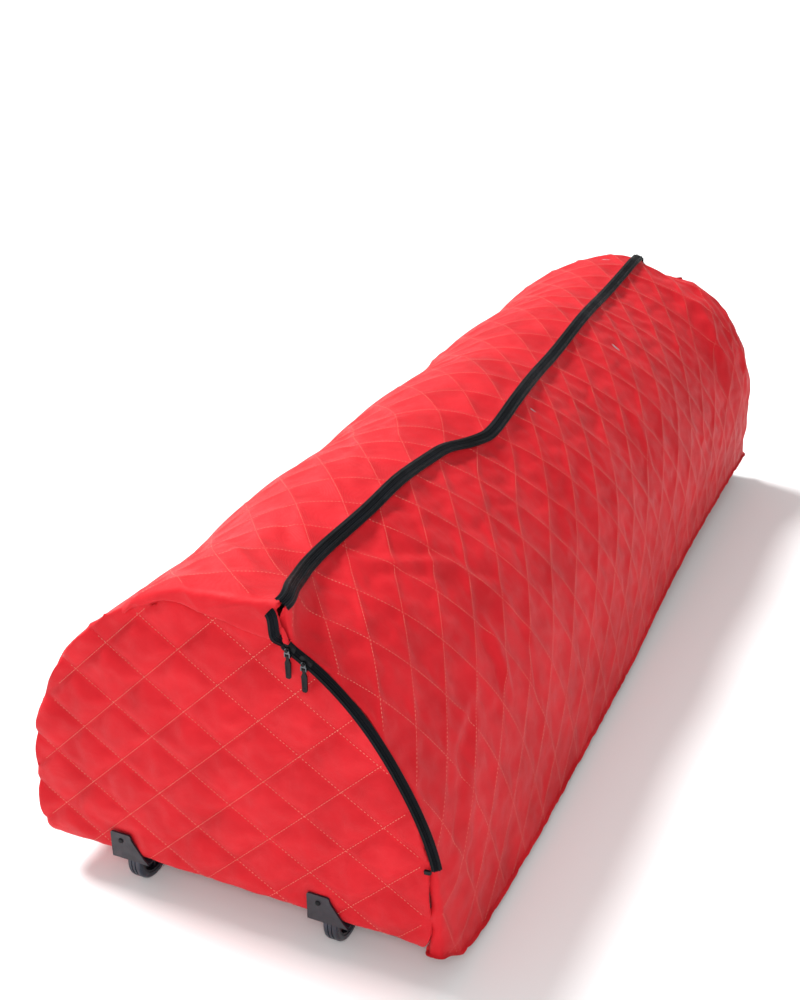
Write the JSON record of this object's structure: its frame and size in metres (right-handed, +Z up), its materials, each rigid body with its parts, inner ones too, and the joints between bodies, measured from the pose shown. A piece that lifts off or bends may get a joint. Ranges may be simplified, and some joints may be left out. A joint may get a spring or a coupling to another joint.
{
  "type": "infrared sauna blanket",
  "caption": "Quilted half-barrel heating blanket on a wheeled base, with a hinged side flap, a zip along the ridge and round one end, and a neck opening.",
  "frame": {"origin": "on the floor, under the middle of the box that holds the object", "axes": "+Z up, +Y along the length to the head end, +X to the side of the flap"},
  "size_m": [0.7, 2.0311, 0.5792],
  "materials": {
    "red_quilt": "diamond quilted nylon, soft sheen",
    "lining_cloth": "smooth wipe-clean lining",
    "collar_fleece": "soft padded binding",
    "foam": "matt cut foam",
    "carbon_film": "matt carbon heating film",
    "frame_steel": "satin powder coat",
    "spring_steel": "drawn wire",
    "board": "unfinished plywood",
    "stiffener": "matt fibreboard",
    "zip_tape": "woven tape",
    "zip_coil": "moulded nylon coil, semi-gloss",
    "zip_metal": "gloss black enamel",
    "zip_bright": "dark nickel plate",
    "black_plastic": "moulded, satin",
    "hub_plastic": "moulded, satin",
    "tyre_black": "hard rubber, satin",
    "bolt_steel": "zinc plated",
    "rivet_black": "black enamel",
    "pad_rubber": "matt",
    "webbing": "ribbed webbing",
    "socket_shell": "satin anodised",
    "contact_brass": "plated",
    "cutout_case": "phenolic",
    "lead_rubber": "matt"
  },
  "bodies": {
    "root": {"base_board": "board", "base_cover": "red_quilt", "base_leads": "lead_rubber", "carry_handle": "webbing", "controller_socket": "socket_shell", "cover_left": "red_quilt", "flange_rivets": "rivet_black", "foot_panel_board": "stiffener", "foot_panel_cover": "red_quilt", "frame_crossbars": "frame_steel", "frame_rails": "frame_steel", "handle_rivets": "rivet_black", "head_base_panel": "red_quilt", "head_panel_left": "red_quilt", "heater_base": "carbon_film", "heater_left": "carbon_film", "hinge_leaves_base": "bolt_steel", "hinge_pins": "bolt_steel", "housing_rivets": "bolt_steel", "junction_box": "black_plastic", "lining_left": "lining_cloth", "mattress_foam": "foam", "mattress_topper": "lining_cloth", "neck_collar_left": "collar_fleece", "rest_feet": "black_plastic", "rest_pads": "pad_rubber", "rib_sockets": "black_plastic", "ribs_left": "spring_steel", "socket_insert": "black_plastic", "socket_pins": "contact_brass", "socket_screws": "bolt_steel", "thermal_cutout": "cutout_case", "wheel_axles": "bolt_steel", "wheel_housings": "black_plastic", "zip_bottom_stop": "zip_metal", "zip_coil_fixed": "zip_coil", "zip_tape_fixed": "zip_tape"},
    "flap": {"cover_flap": "red_quilt", "lining_flap": "lining_cloth", "heater_flap": "carbon_film", "ribs_flap": "spring_steel", "flap_rail": "frame_steel", "flap_lead": "lead_rubber", "hinge_leaves_flap": "bolt_steel", "head_panel_flap": "red_quilt", "neck_collar_flap": "collar_fleece", "zip_tape_flap": "zip_tape", "zip_coil_flap": "zip_coil"},
    "wheel_left": {"wheel_tyre_left": "tyre_black", "wheel_hub_left": "hub_plastic", "wheel_bearings_left": "bolt_steel"},
    "wheel_right": {"wheel_tyre_right": "tyre_black", "wheel_hub_right": "hub_plastic", "wheel_bearings_right": "bolt_steel"},
    "arch_slider": {"arch_slider": "zip_metal"},
    "arch_shackle": {"arch_pull_shackle": "zip_bright"},
    "arch_tab": {"arch_pull_tab": "zip_metal"},
    "ridge_slider": {"ridge_slider": "zip_metal"},
    "ridge_shackle": {"ridge_pull_shackle": "zip_bright"},
    "ridge_tab": {"ridge_pull_tab": "zip_metal"}
  },
  "joints": [
    {"name": "flap_hinge", "type": "hinge", "parent": "root", "child": "flap", "pos_m": [0.325, 0, 0.072], "axis": [0, 1, 0], "range_deg": [0, 100]},
    {"name": "wheel_left_spin", "type": "hinge", "parent": "root", "child": "wheel_left", "pos_m": [-0.176, -0.953, 0.045], "axis": [1, 0, 0], "continuous": true},
    {"name": "wheel_right_spin", "type": "hinge", "parent": "root", "child": "wheel_right", "pos_m": [0.176, -0.953, 0.045], "axis": [1, 0, 0], "continuous": true},
    {"name": "ridge_slider_travel", "type": "hinge", "parent": "root", "child": "ridge_slider", "pos_m": [-0.078, -1, 0.165], "axis": [0, 1, 0], "range_deg": [-8, 0]},
    {"name": "ridge_pull_swing", "type": "hinge", "parent": "ridge_slider", "child": "ridge_shackle", "pos_m": [0.13504, -1.00955, 0.52667], "axis": [0, 1, 0], "range_deg": [-12, 100]},
    {"name": "ridge_pull_lift", "type": "hinge", "parent": "ridge_shackle", "child": "ridge_tab", "pos_m": [0.13504, -1.00955, 0.51767], "axis": [-1, 0, 0], "range_deg": [0, 120]},
    {"name": "arch_slider_travel", "type": "hinge", "parent": "root", "child": "arch_slider", "pos_m": [-0.078, -1, 0.165], "axis": [0, 1, 0], "range_deg": [0, 46.5]},
    {"name": "arch_pull_swing", "type": "hinge", "parent": "arch_slider", "child": "arch_shackle", "pos_m": [0.15975, -1.00955, 0.51093], "axis": [0, 1, 0], "range_deg": [-90, 15]},
    {"name": "arch_pull_lift", "type": "hinge", "parent": "arch_shackle", "child": "arch_tab", "pos_m": [0.15975, -1.00955, 0.50193], "axis": [-1, 0, 0], "range_deg": [0, 120]}
  ]
}
